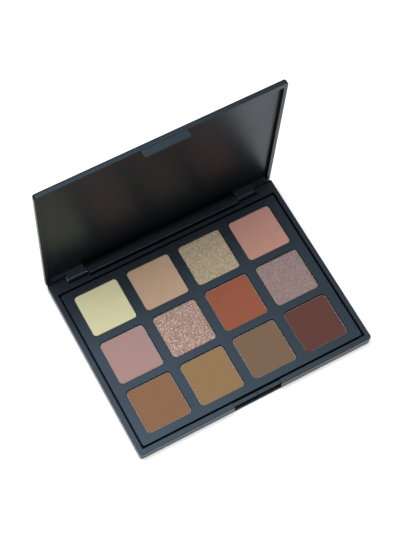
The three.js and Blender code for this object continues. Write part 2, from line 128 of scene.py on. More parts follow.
class Workbench:
    """Modelling moves made with Blender's own operators."""

    @staticmethod
    def hold(piece: Piece) -> None:
        """Makes one piece the only selected and active one."""
        bpy.ops.object.select_all(action="DESELECT")
        piece.select_set(True)
        bpy.context.view_layer.objects.active = piece

    @staticmethod
    def settle(piece: Piece) -> None:
        """Puts a piece's place, turn and scale into its mesh."""
        Workbench.hold(piece)
        bpy.ops.object.transform_apply(location=True, rotation=True, scale=True)

    @staticmethod
    @contextmanager
    def picked(piece: Piece, pick: Pick,
               test: Callable[[Sequence[Vector]], bool]) -> Iterator[None]:
        """Opens a piece in edit mode with only the chosen edges or faces selected.

        Args:
            piece: The piece to open.
            pick: Whether edges or faces are chosen.
            test: Says of an edge's or face's corners whether it is chosen.
        """
        Workbench.hold(piece)
        bpy.ops.object.mode_set(mode="EDIT")
        bpy.ops.mesh.select_mode(type=pick.value)
        bpy.ops.mesh.select_all(action="DESELECT")
        mesh = bmesh.from_edit_mesh(piece.data)
        for element in mesh.edges if pick is Pick.EDGE else mesh.faces:
            element.select_set(test([corner.co for corner in element.verts]))
        mesh.select_flush_mode()
        bmesh.update_edit_mesh(piece.data)
        yield
        bpy.ops.object.mode_set(mode="OBJECT")

    @staticmethod
    def block(name: str, box: Extent) -> Piece:
        """Adds a plain block.

        Args:
            name: The piece's name.
            box: Its box.

        Returns:
            The block.
        """
        bpy.ops.object.select_all(action="DESELECT")
        bpy.ops.mesh.primitive_cube_add(size=1, location=box.centre, scale=box.size)
        piece = bpy.context.active_object
        piece.name = piece.data.name = name
        Workbench.settle(piece)
        return piece

    @staticmethod
    def bar(name: str, radius: float, start: float, end: float, centre: Vector,
            sides: int = PIN_SIDES) -> Piece:
        """Adds a round bar along X.

        Args:
            name: The piece's name.
            radius: Its radius.
            start: Its lower end along X.
            end: Its upper end along X.
            centre: A point on its axis.
            sides: How many sides its round has.

        Returns:
            The bar.
        """
        bpy.ops.object.select_all(action="DESELECT")
        bpy.ops.mesh.primitive_cylinder_add(
            vertices=sides, radius=radius, depth=end - start,
            location=((start + end) / 2, centre.y, centre.z), rotation=(0, math.pi / 2, 0))
        piece = bpy.context.active_object
        piece.name = piece.data.name = name
        Workbench.settle(piece)
        return piece

    @staticmethod
    def round_edges(piece: Piece, test: Callable[[Sequence[Vector]], bool], radius: float,
                    segments: int) -> None:
        """Rounds the chosen edges.

        Args:
            piece: The piece to shape.
            test: Says of an edge's two ends whether it is rounded.
            radius: The round's radius.
            segments: How many flats make the round.
        """
        with Workbench.picked(piece, Pick.EDGE, test):
            bpy.ops.mesh.bevel(offset=radius, offset_type="OFFSET", segments=segments,
                               affect="EDGES", clamp_overlap=False)

    @staticmethod
    def slab(name: str, box: Extent, front_radius: float, back_radius: float,
             segments: int = CORNER_STEPS) -> Piece:
        """Adds a block with rounded upright corners.

        Args:
            name: The piece's name.
            box: Its box.
            front_radius: Radius of the two corners at the front.
            back_radius: Radius of the two corners at the back.
            segments: How many flats make each corner.

        Returns:
            The slab.
        """
        piece = Workbench.block(name, box)
        for y, radius in ((box.low.y, front_radius), (box.high.y, back_radius)):
            Workbench.round_edges(
                piece, lambda ends, at=y: upright(ends) and near(ends[0].y, at), radius, segments)
        return piece

    @staticmethod
    def combine(piece: Piece, tool: Piece, merge: Merge) -> None:
        """Adds a solid to a piece or cuts it away, and uses the solid up.

        Args:
            piece: The piece to change.
            tool: The solid that changes it.
            merge: How the two are combined.
        """
        Workbench.hold(piece)
        modifier = piece.modifiers.new(merge.name, "BOOLEAN")
        modifier.operation = merge.value
        modifier.solver = "EXACT"
        modifier.object = tool
        bpy.ops.object.modifier_apply(modifier=modifier.name)
        bpy.data.objects.remove(tool, do_unlink=True)

    @staticmethod
    def joined(pieces: Sequence[Piece]) -> Piece:
        """Joins separate solids into one object, and gives it back."""
        Workbench.hold(pieces[0])
        for piece in pieces[1:]:
            piece.select_set(True)
        bpy.ops.object.join()
        return pieces[0]

    @staticmethod
    def clean(piece: Piece) -> None:
        """Merges doubled corners and the needless cuts in flat faces."""
        with Workbench.picked(piece, Pick.FACE, lambda corners: True):
            bpy.ops.mesh.remove_doubles(threshold=SAME_PLACE)
            bpy.ops.mesh.dissolve_limited(angle_limit=FLAT_ANGLE)

    @staticmethod
    def ease(piece: Piece, width: float, segments: int = 3) -> None:
        """Eases every sharp edge, as a moulding's are.

        Args:
            piece: The piece to finish.
            width: Width of the ease on each face.
            segments: How many flats make it.
        """
        Workbench.hold(piece)
        modifier = piece.modifiers.new("ease", "BEVEL")
        modifier.width = width
        modifier.segments = segments
        modifier.limit_method = "ANGLE"
        modifier.angle_limit = SHARP_ANGLE
        modifier.use_clamp_overlap = False
        bpy.ops.object.modifier_apply(modifier=modifier.name)

    @staticmethod
    def smooth(piece: Piece, angle: float = 40.0) -> None:
        """Shades the rounds smooth and keeps the flats flat.

        Args:
            piece: The piece to finish.
            angle: Edges sharper than this many degrees stay sharp.
        """
        Workbench.hold(piece)
        bpy.ops.object.shade_smooth_by_angle(angle=math.radians(angle))
        modifier = piece.modifiers.new("flats", "WEIGHTED_NORMAL")
        modifier.keep_sharp = True
        bpy.ops.object.modifier_apply(modifier=modifier.name)

    @staticmethod
    def copied(piece: Piece, name: str, shift: Vector) -> Piece:
        """Copies a piece with its own mesh.

        Args:
            piece: The piece to copy.
            name: The copy's name.
            shift: How far the copy is moved.

        Returns:
            The copy.
        """
        Workbench.hold(piece)
        bpy.ops.object.duplicate(linked=False)
        twin = bpy.context.active_object
        twin.name = twin.data.name = name
        twin.location = shift
        Workbench.settle(twin)
        return twin


def near(value: float, place: float) -> bool:
    """Says whether a number is at a place."""
    return abs(value - place) < SAME_PLACE


def upright(ends: Sequence[Vector]) -> bool:
    """Says whether an edge runs along Z."""
    return near(ends[0].x, ends[1].x) and near(ends[0].y, ends[1].y)


def level_at(height: float) -> Callable[[Sequence[Vector]], bool]:
    """Gives a test for edges and faces that lie at one height."""
    return lambda corners: all(near(corner.z, height) for corner in corners)


# ---- materials ----------------------------------------------------------------------------


class Wire:
    """A shader socket that takes part in Python arithmetic."""

    def __init__(self, graph: "Graph", node: bpy.types.Node, output: Union[int, str] = 0) -> None:
        """Wraps one output of a node.

        Args:
            graph: The graph that the node is in.
            node: The node.
            output: The output's number or name.
        """
        self.graph = graph
        self.owner = node
        self.socket = node.outputs[output] if node.outputs else None

    def out(self, name: str) -> "Wire":
        """Gives another output of the same node."""
        return Wire(self.graph, self.owner, name)

    def _math(self, operation: str, first: "Value", second: "Value") -> "Wire":
        """Adds a Math node.

        Args:
            operation: What it does.
            first: Its first value.
            second: Its second value.

        Returns:
            Its result.
        """
        return self.graph.node("ShaderNodeMath", {"operation": operation}, {0: first, 1: second})

    def __add__(self, other: "Value") -> "Wire":
        """Adds."""
        return self._math("ADD", self, other)

    def __radd__(self, other: "Value") -> "Wire":
        """Adds from the left."""
        return self._math("ADD", other, self)

    def __sub__(self, other: "Value") -> "Wire":
        """Subtracts."""
        return self._math("SUBTRACT", self, other)

    def __rsub__(self, other: "Value") -> "Wire":
        """Subtracts from a value on the left."""
        return self._math("SUBTRACT", other, self)

    def __mul__(self, other: "Value") -> "Wire":
        """Multiplies."""
        return self._math("MULTIPLY", self, other)

    def __rmul__(self, other: "Value") -> "Wire":
        """Multiplies from the left."""
        return self._math("MULTIPLY", other, self)

    def __gt__(self, other: "Value") -> "Wire":
        """Gives 1 where this is greater, and 0 elsewhere."""
        return self._math("GREATER_THAN", self, other)


Value = Union[Wire, float, Sequence[float]]


class Graph:
    """One material and the nodes in it."""

    def __init__(self, name: str) -> None:
        """Makes an empty material of a name."""
        self.material = bpy.data.materials.new(name)
        self.material.use_nodes = True
        self.tree = self.material.node_tree
        self.tree.nodes.clear()

    def node(self, kind: str, settings: Mapping[str, object],
             sockets: Mapping[Union[int, str], Value]) -> Wire:
        """Adds a node.

        Args:
            kind: The node's type.
            settings: Its own settings; "stops" holds a ramp's places and colours.
            sockets: Values or wires for its inputs.

        Returns:
            The node's first output.
        """
        node = self.tree.nodes.new(kind)
        for key, value in settings.items():
            if key == "stops":
                self._set_stops(node.color_ramp, value)
            else:
                setattr(node, key, value)
        for key, value in sockets.items():
            if isinstance(value, Wire):
                self.tree.links.new(value.socket, node.inputs[key])
            else:
                node.inputs[key].default_value = value
        return Wire(self, node)

    @staticmethod
    def _set_stops(ramp: bpy.types.ColorRamp, stops: Sequence[tuple[float, Colour]]) -> None:
        """Sets a ramp's stops.

        Args:
            ramp: The ramp.
            stops: Each stop's place and colour, in order.
        """
        while len(ramp.elements) < len(stops):
            ramp.elements.new(1.0)
        for element, (place, colour) in zip(ramp.elements, stops):
            element.position = place
            element.color = (*colour, 1.0)

    def place(self) -> Wire:
        """Gives the point on the piece, in metres."""
        return self.node("ShaderNodeTexCoord", {}, {}).out("Object")

    def grain(self, size: float, detail: float = 2.0, roughness: float = 0.5) -> Wire:
        """Gives soft noise between about 0.3 and 0.7.

        Args:
            size: Size of one blotch, in metres.
            detail: How many finer layers it has.
            roughness: How strong the finer layers are.

        Returns:
            The noise.
        """
        return self.node("ShaderNodeTexNoise", {}, {
            "Vector": self.place(), "Scale": 1 / size, "Detail": detail, "Roughness": roughness})

    def flakes(self, size: float) -> Wire:
        """Gives a random colour for each flake of a size."""
        return self.node("ShaderNodeTexVoronoi", {"feature": "F1"}, {
            "Vector": self.place(), "Scale": 1 / size, "Randomness": 1.0}).out("Color")

    def mixed(self, amount: Value, low: Value, high: Value) -> Wire:
        """Mixes two colours.

        Args:
            amount: 0 gives low, 1 gives high.
            low: The first colour.
            high: The second colour.

        Returns:
            The mixed colour.
        """
        mix = self.node("ShaderNodeMix", {"data_type": "RGBA"}, {
            0: amount, 6: rgba(low), 7: rgba(high)})
        return Wire(self, mix.owner, 2)

    def bump(self, height: Wire, depth: float, strength: float = 1.0) -> Wire:
        """Gives a normal for a relief.

        Args:
            height: The relief, from 0 to 1.
            depth: What a height of 1 stands for, in metres.
            strength: How much of it shows.

        Returns:
            The normal.
        """
        return self.node("ShaderNodeBump", {}, {
            "Strength": strength, "Distance": depth, "Height": height})

    def finish(self, sockets: Mapping[Union[int, str], Value]) -> bpy.types.Material:
        """Closes the graph with a Principled shader.

        Args:
            sockets: The shader's inputs.

        Returns:
            The material.
        """
        shader = self.node("ShaderNodeBsdfPrincipled", {}, sockets)
        self.node("ShaderNodeOutputMaterial", {}, {"Surface": shader})
        return self.material


def rgba(colour: Value) -> Value:
    """Gives a plain colour its alpha, and leaves a wire alone."""
    return colour if isinstance(colour, Wire) else (*colour, 1.0)


def scaled(colour: Colour, amount: float) -> Colour:
    """Makes a colour lighter or darker."""
    return tuple(channel * amount for channel in colour)


@dataclass(frozen=True)
class CasePlastic:
    """Navy-black moulded plastic with a soft sheen."""

    name: str = "case_plastic"
    colour: Colour = (0.008, 0.010, 0.012)
    sheen_tint: Colour = (0.52, 0.74, 1.0)
    ior: float = 1.44
    roughness: float = 0.36
    roughness_spread: float = 0.08
    blotch_size: float = 14 * MM
    texture_size: float = 0.22 * MM
    texture_depth: float = 0.002 * MM

    def material(self) -> bpy.types.Material:
        """Makes the material."""
        graph = Graph(self.name)
        blotches = graph.grain(self.blotch_size)
        spark = graph.grain(self.texture_size, detail=1.0)
        low = self.roughness - self.roughness_spread / 2
        return graph.finish({
            "Base Color": graph.mixed(
                blotches, scaled(self.colour, 0.85), scaled(self.colour, 1.15)),
            "Roughness": low + blotches * self.roughness_spread,
            "IOR": self.ior,
            "Specular Tint": rgba(self.sheen_tint),
            "Normal": graph.bump(spark, self.texture_depth),
        })


@dataclass(frozen=True)
class DrawnTin:
    """Bright drawn metal of the pans."""

    name: str = "pan_tin"
    colour: Colour = (0.24, 0.24, 0.24)
    roughness: float = 0.4
    draw_mark_size: float = 0.5 * MM

    def material(self) -> bpy.types.Material:
        """Makes the material."""
        graph = Graph(self.name)
        marks = graph.node("ShaderNodeTexNoise", {}, {
            "Vector": graph.node("ShaderNodeMapping", {}, {
                "Vector": graph.place(), "Scale": (1.0, 1.0, 0.15)}),
            "Scale": 1 / self.draw_mark_size, "Detail": 2.0})
        return graph.finish({
            "Base Color": graph.mixed(marks, scaled(self.colour, 0.85), self.colour),
            "Metallic": 1.0,
            "Roughness": self.roughness - 0.06 + marks * 0.12,
            "Normal": graph.bump(marks, 0.003 * MM),
        })


@dataclass(frozen=True)
class PinSteel:
    """Ground steel wire of the hinge pins."""

    name: str = "pin_steel"
    colour: Colour = (0.56, 0.57, 0.58)
    groove_size: float = 0.15 * MM

    def material(self) -> bpy.types.Material:
        """Makes the material."""
        graph = Graph(self.name)
        grooves = graph.node("ShaderNodeTexNoise", {}, {
            "Vector": graph.node("ShaderNodeMapping", {}, {
                "Vector": graph.place(), "Scale": (1.0, 0.1, 0.1)}),
            "Scale": 1 / self.groove_size, "Detail": 1.0})
        return graph.finish({
            "Base Color": graph.mixed(grooves, scaled(self.colour, 0.9), self.colour),
            "Metallic": 1.0,
            "Roughness": 0.24 + grooves * 0.12,
            "Normal": graph.bump(grooves, 0.002 * MM),
        })


@dataclass(frozen=True)
class FoamTape:
    """Closed-cell white foam of the tape under the pans."""

    name: str = "foam_tape"
    colour: Colour = (0.78, 0.77, 0.72)
    cell_size: float = 0.25 * MM

    def material(self) -> bpy.types.Material:
        """Makes the material."""
        graph = Graph(self.name)
        cells = graph.node("ShaderNodeTexVoronoi", {"feature": "F1"}, {
            "Vector": graph.place(), "Scale": 1 / self.cell_size})
        return graph.finish({
            "Base Color": graph.mixed(cells, scaled(self.colour, 0.8), self.colour),
            "Roughness": 0.9,
            "Normal": graph.bump(cells, 0.03 * MM),
        })


class Surface(Enum):
    """How a pressed powder's face looks."""

    MATTE = "matte"
    SATIN = "satin shimmer"
    PEBBLED = "pebbled shimmer"
    GLITTER = "coarse glitter"


@dataclass(frozen=True)
class PressedPowder:
    """One shade of pressed powder."""

    name: str
    colour: Colour
    surface: Surface = Surface.MATTE
    cloud_size: float = 6 * MM
    grit_size: float = 0.28 * MM
    grit_depth: float = 0.03 * MM
    pebble_size: float = 0.36 * MM
    shimmer_size: float = 0.3 * MM
    glitter_size: float = 0.42 * MM
    foil_threshold: float = 0.3
    flake_tilt: float = 0.7

    def material(self) -> bpy.types.Material:
        """Makes the material that the surface asks for."""
        graph = Graph(self.name)
        if self.surface is Surface.MATTE:
            return self._matte(graph)
        if self.surface is Surface.GLITTER:
            return self._glitter(graph)
        return self._shimmer(graph)

    def _matte(self, graph: Graph) -> bpy.types.Material:
        """Fine dry grain with faint clouds from the press."""
        clouds = graph.grain(self.cloud_size)
        grit = graph.grain(self.grit_size, detail=3.0, roughness=0.6)
        shade = clouds * 0.5 + grit * 0.5
        return graph.finish({
            "Base Color": graph.mixed(shade, scaled(self.colour, 0.9), scaled(self.colour, 1.1)),
            "Roughness": 0.86 + grit * 0.12,
            "Specular IOR Level": 0.25,
            "Normal": graph.bump(grit, self.grit_depth, 0.6),
        })

    def _tilted(self, graph: Graph, flakes: Wire, amount: float) -> Wire:
        """Tilts the surface's normal flake by flake.

        Args:
            graph: The material's graph.
            flakes: A random colour for each flake.
            amount: How far flakes tilt.

        Returns:
            The tilted normal.
        """
        centred = graph.node("ShaderNodeVectorMath", {"operation": "SUBTRACT"},
                             {0: flakes, 1: (0.5, 0.5, 0.5)})
        tilt = graph.node("ShaderNodeVectorMath", {"operation": "SCALE"},
                          {0: centred, "Scale": amount})
        level = graph.node("ShaderNodeNewGeometry", {}, {}).out("Normal")
        leaning = graph.node("ShaderNodeVectorMath", {"operation": "ADD"}, {0: level, 1: tilt})
        return graph.node("ShaderNodeVectorMath", {"operation": "NORMALIZE"}, {0: leaning})

    def _shimmer(self, graph: Graph) -> bpy.types.Material:
        """Fine mica flakes in a soft binder."""
        pebbled = self.surface is Surface.PEBBLED
        flakes = graph.flakes(self.pebble_size if pebbled else self.shimmer_size)
        chance = graph.node("ShaderNodeSeparateColor", {}, {"Color": flakes})
        return graph.finish({
            "Base Color": graph.mixed(chance, scaled(self.colour, 0.7),
                                      scaled(self.colour, 1.3)),
            "Metallic": 0.35,
            "Roughness": 0.45 + chance.out("Green") * 0.2,
            "Normal": self._tilted(graph, flakes, self.flake_tilt),
        })

    def _glitter(self, graph: Graph) -> bpy.types.Material:
        """Foil flakes set close together in a darker binder."""
        flakes = graph.flakes(self.glitter_size)
        chance = graph.node("ShaderNodeSeparateColor", {}, {"Color": flakes})
        foil = chance > self.foil_threshold
        tone = graph.mixed(chance.out("Green"), scaled(self.colour, 0.75),
                           scaled(self.colour, 1.35))
        return graph.finish({
            "Base Color": graph.mixed(foil, scaled(self.colour, 0.7), tone),
            "Metallic": foil * 0.4,
            "Roughness": 0.7 - foil * 0.25,
            "Normal": self._tilted(graph, flakes, self.flake_tilt),
        })


# ---- the case -----------------------------------------------------------------------------


@dataclass(frozen=True)
class Hinge:
    """The hinge line, and how far the stored lid is open."""

    knuckle_radius: float = 2.3 * MM
    knuckle_length: float = 11.2 * MM
    side_gap: float = 0.5 * MM
    end_length: float = 11.4 * MM
    pin_radius: float = 0.8 * MM
    pin_gap: float = 0.05 * MM

    @property
    def joint(self) -> dict:
        """The lid's joint, as the record gives it."""
        return frame["joints"][0]

    @property
    def axis_point(self) -> Vector:
        """The middle of the hinge line."""
        return Vector(self.joint["pos_m"])

    @property
    def opening(self) -> float:
        """Angle from shut to stored, in radians."""
        return math.radians(-self.joint["range_deg"][0])

    @property
    def pocket_end(self) -> float:
        """Outer end of a knuckle's pocket, from the middle."""
        return Extent.of("base_shell").high.x - self.end_length

    @property
    def knuckle_end(self) -> float:
        """Outer end of a knuckle, from the middle."""
        return self.pocket_end - self.side_gap

    @property
    def knuckle_start(self) -> float:
        """Inner end of a knuckle, from the middle."""
        return self.knuckle_end - self.knuckle_length

    @property
    def spine_end(self) -> float:
        """End of the spine, from the middle."""
        return self.knuckle_start - self.side_gap


@dataclass
class BaseShell:
    """The moulded base: well, front rim with its scoop, spine and knuckle pockets."""

    hinge: Hinge
    finish: bpy.types.Material
    corner_radius: float = 1.6 * MM
    draft: float = 0.15 * MM
    foot_rounding: float = 0.4 * MM
    rim_rounding: float = 0.3 * MM
    insert_gap: float = 1.1 * MM
    well_radius: float = 0.5 * MM
    scoop_half: float = 14.2 * MM
    scoop_ledge_drop: float = 0.8 * MM
    scoop_ledge_thickness: float = 1.0 * MM
    scoop_step: float = 1.15 * MM
    scoop_depth: float = 1.9 * MM
    scoop_floor: float = 1.2 * MM
    nib_half: float = 0.8 * MM
    nib_half_width: float = 0.4 * MM
    nib_half_height: float = 0.3 * MM
    pocket_front_gap: float = 0.9 * MM
    pocket_floor_gap: float = 0.3 * MM
    pocket_fall: float = math.tan(math.radians(10))
    groove: float = 0.6 * MM
    spine_front_cut: float = 0.5 * MM
    spine_edge_rounding: float = 0.7 * MM
    well_floor: float = 1.2 * MM
    edge_ease: float = 0.14 * MM

    def __post_init__(self) -> None:
        """Takes the base's places from the CAD frame."""
        node = Extent.of("base_shell")
        axis = self.hinge.axis_point
        radius = self.hinge.knuckle_radius
        self.spine_radius = node.high.z - axis.z
        self.box = Extent(node.low, Vector((node.high.x, axis.y + radius, axis.z + radius)))
        deck = Extent.of("deck_insert")
        self.well = deck.grown(self.insert_gap, self.insert_gap)

    @property
    def ledge(self) -> float:
        """Height of the scoop's ledge."""
        return self.box.high.z - self.scoop_ledge_drop

    def build(self) -> Piece:
        """Models the base and dresses it."""
        base = self._body()
        self._round_back_edge(base)
        self._groove_spine_foot(base)
        Workbench.combine(base, self._spine(), Merge.ADD)
        self._sink_well(base)
        self._scoop_front(base)
        for side in (-1, 1):
            Workbench.combine(base, self._pocket(side), Merge.CUT)
            Workbench.combine(base, self._pin_hole(side), Merge.CUT)
        Workbench.clean(base)
        Workbench.ease(base, self.edge_ease)
        Workbench.smooth(base)
        base.data.materials.append(self.finish)
        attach(base, "base")
        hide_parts("base_shell")
        return base

    def _body(self) -> Piece:
        """Models the outer form: upright corners, drawn-in walls, soft foot and rim."""
        body = Workbench.slab("base_body", self.box, self.corner_radius, self.corner_radius, 10)
        size = self.box.size
        with Workbench.picked(body, Pick.FACE, level_at(self.box.low.z)):
            shrink = (1 - 2 * self.draft / size.x, 1 - 2 * self.draft / size.y, 1.0)
            bpy.ops.transform.resize(value=shrink, center_override=self.box.centre)
        Workbench.round_edges(body, level_at(self.box.low.z), self.foot_rounding, 5)
        Workbench.round_edges(body, level_at(self.box.high.z), self.rim_rounding, 4)
        return body

    def _round_back_edge(self, base: Piece) -> None:
        """Takes the square edge off behind the hinge line."""
        axis = self.hinge.axis_point
        wide = self.box.size.x
        corner = Workbench.block("corner", Extent(
            Vector((-wide, axis.y, axis.z)),
            Vector((wide, self.box.high.y + OVERCUT, self.box.high.z + OVERCUT))))
        barrel = Workbench.bar(
            "barrel", self.hinge.knuckle_radius, -2 * wide, 2 * wide, axis, 64)
        Workbench.combine(corner, barrel, Merge.CUT)
        Workbench.combine(base, corner, Merge.CUT)

    def _groove_spine_foot(self, base: Piece) -> None:
        """Cuts the groove along the spine's front foot."""
        axis = self.hinge.axis_point
        foot = self.spine_front
        end = self.hinge.spine_end
        groove = Workbench.block("groove", Extent(
            Vector((-end, foot - self.groove, self.box.high.z - self.groove)),
            Vector((end, axis.y, self.box.high.z + OVERCUT))))
        Workbench.combine(base, groove, Merge.CUT)

    @property
    def spine_front(self) -> float:
        """Place of the spine's front face along Y."""
        return self.hinge.axis_point.y - self.spine_radius + self.spine_front_cut

    def _spine(self) -> Piece:
        """Models the spine: flat on top before the hinge line, round behind it."""
        end = self.hinge.spine_end
        axis = self.hinge.axis_point
        top = axis.z + self.spine_radius
        spine = Workbench.bar("spine", self.spine_radius, -end, end, axis, SPINE_SIDES)
        front = Workbench.block("spine_front", Extent(
            Vector((-end, self.spine_front, self.box.low.z + self.well_floor)),
            Vector((end, axis.y, top))))
        Workbench.round_edges(
            front, lambda ends: all(
                near(corner.y, self.spine_front) and near(corner.z, top) for corner in ends),
            self.spine_edge_rounding, 6)
        Workbench.combine(spine, front, Merge.ADD)
        return spine

    def _sink_well(self, base: Piece) -> None:
        """Sinks the well that holds the deck and pans."""
        box = Extent(self.well.low, Vector((*self.well.high.xy, self.box.high.z + OVERCUT)))
        well = Workbench.slab("well", box, self.well_radius, self.well_radius)
        Workbench.combine(base, well, Merge.CUT)

    def _scoop_front(self, base: Piece) -> None:
        """Cuts the finger scoop and adds its nib."""
        half = self.scoop_half
        front = self.box.low.y
        behind = self.well.low.y
        above = Extent(Vector((-half, front - OVERCUT, self.ledge)),
                       Vector((half, behind + OVERCUT, self.box.high.z + OVERCUT)))
        step = Extent(Vector((-half, front - OVERCUT, self.scoop_floor)),
                      Vector((half, front + self.scoop_step, self.ledge + OVERCUT / 2)))
        hollow = Extent(Vector((-half, front - OVERCUT, self.scoop_floor)),
                        Vector((half, front + self.scoop_depth,
                                self.ledge - self.scoop_ledge_thickness)))
        for name, box in (("above", above), ("step", step), ("hollow", hollow)):
            Workbench.combine(base, Workbench.block(name, box), Merge.CUT)
        middle = Vector((0, (front + self.scoop_step + behind) / 2, self.ledge))
        half_size = Vector((self.nib_half, self.nib_half_width, self.nib_half_height))
        nib = Workbench.block("nib", Extent(middle - half_size, middle + half_size))
        Workbench.combine(base, nib, Merge.ADD)

    def _pocket(self, side: int) -> Piece:
        """Models the space that a knuckle turns in.

        Args:
            side: -1 for the left one, 1 for the right one.

        Returns:
            The space, as a solid to cut away.
        """
        axis = self.hinge.axis_point
        radius = self.hinge.knuckle_radius
        front = axis.y - radius - self.pocket_front_gap
        floor = axis.z - radius - self.pocket_floor_gap
        end = self.box.high.y + self.spine_radius
        start, stop = sorted((side * self.hinge.spine_end, side * self.hinge.pocket_end))
        pocket = Workbench.block("pocket", Extent(
            Vector((start, front, floor)), Vector((stop, end, self.box.high.z + OVERCUT))))
        with Workbench.picked(pocket, Pick.FACE, lambda corners: True):
            bpy.ops.mesh.bisect(plane_co=(start, axis.y, floor), plane_no=(0, 1, 0))
        fall = (end - axis.y) * self.pocket_fall
        with Workbench.picked(pocket, Pick.EDGE, lambda ends: all(
                near(corner.y, end) and near(corner.z, floor) for corner in ends)):
            bpy.ops.transform.translate(value=(0, 0, -fall))
        return pocket

    def _pin_hole(self, side: int) -> Piece:
        """Models a pin's hole, open at the base's side.

        Args:
            side: -1 for the left one, 1 for the right one.

        Returns:
            The hole, as a solid to cut away.
        """
        pin = Extent.of("hinge_pin_right")
        outer = self.box.high.x + OVERCUT
        start, stop = sorted((side * pin.low.x, side * outer))
        radius = self.hinge.pin_radius + self.hinge.pin_gap
        return Workbench.bar("pin_hole", radius, start, stop, self.hinge.axis_point)


@dataclass
class HingePins:
    """The two pins that the lid turns on."""

    hinge: Hinge
    finish: bpy.types.Material
    end_chamfer: float = 0.15 * MM

    def build(self) -> list[Piece]:
        """Models the pins and dresses them."""
        pins = []
        for node in ("hinge_pin_left", "hinge_pin_right"):
            box = Extent.of(node)
            ends = (box.low.x, box.high.x)
            pin = Workbench.bar(f"{node}_turned", self.hinge.pin_radius, *ends, box.centre)
            Workbench.round_edges(
                pin, lambda pair, at=ends: any(
                    all(near(corner.x, end) for corner in pair) for end in at),
                self.end_chamfer, 2)
            Workbench.smooth(pin, 30.0)
            pin.data.materials.append(self.finish)
            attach(pin, "base")
            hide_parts(node)
            pins.append(pin)
        return pins


@dataclass
class DeckInsert:
    """The framed deck with its twelve openings, its skirt and ribs."""

    finish: bpy.types.Material
    pan_nodes: Sequence[str]
    plate: float = 1.4 * MM
    rib: float = 1.2 * MM
    corner_radius: float = 1.3 * MM
    pan_clearance: float = 0.2 * MM
    opening_radius: float = 2.2 * MM
    edge_ease: float = 0.16 * MM

    def build(self) -> Piece:
        """Models the deck and dresses it."""
        box = Extent.of("deck_insert")
        deck = Workbench.slab("deck", box, self.corner_radius, self.corner_radius)
        for height, make in ((box.high.z, self._opening), (box.high.z - self.plate, self._cell)):
            tools = [make(Extent.of(node), box, height) for node in self.pan_nodes]
            Workbench.combine(deck, Workbench.joined(tools), Merge.CUT)
        Workbench.clean(deck)
        Workbench.ease(deck, self.edge_ease)
        Workbench.smooth(deck)
        deck.data.materials.append(self.finish)
        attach(deck, "base")
        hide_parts("deck_insert")
        return deck

    def _opening(self, pan: Extent, deck: Extent, top: float) -> Piece:
        """Models the space of one pan's opening.

        Args:
            pan: The pan's box.
            deck: The deck's box.
            top: Height of the deck's face.

        Returns:
            The opening, as a solid to cut away.
        """
        hole = pan.grown(self.pan_clearance, self.pan_clearance)
        box = Extent(Vector((*hole.low.xy, deck.low.z - OVERCUT)),
                     Vector((*hole.high.xy, top + OVERCUT)))
        return Workbench.slab("opening", box, self.opening_radius, self.opening_radius)

    def _cell(self, pan: Extent, deck: Extent, top: float) -> Piece:
        """Models the space between the ribs round one pan.

        Args:
            pan: The pan's box.
            deck: The deck's box.
            top: Height of the plate's underside.

        Returns:
            The space, as a solid to cut away.
        """
        first, last = (Extent.of(node).centre for node in (self.pan_nodes[0], self.pan_nodes[-1]))
        pitch = Vector(((last.x - first.x) / (len(COLUMNS) - 1),
                        (last.y - first.y) / (len(ROWS) - 1)))
        low, high = [], []
        for at in range(2):
            for sign, out in ((-1, low), (1, high)):
                middle_rib = pan.centre[at] + sign * (pitch[at] / 2 - self.rib / 2)
                skirt = (deck.low, deck.high)[sign > 0][at] - sign * self.rib
                out.append(max(skirt, middle_rib) if sign < 0 else min(skirt, middle_rib))
        for at in range(2):
            if abs(pan.centre[at] - (first[at], last[at])[0]) < pitch[at] / 2:
                low[at] = deck.low[at] + self.rib
            if abs(pan.centre[at] - last[at]) < pitch[at] / 2:
                high[at] = deck.high[at] - self.rib
        return Workbench.block("cell", Extent(
            Vector((*low, deck.low.z - OVERCUT)), Vector((*high, top))))


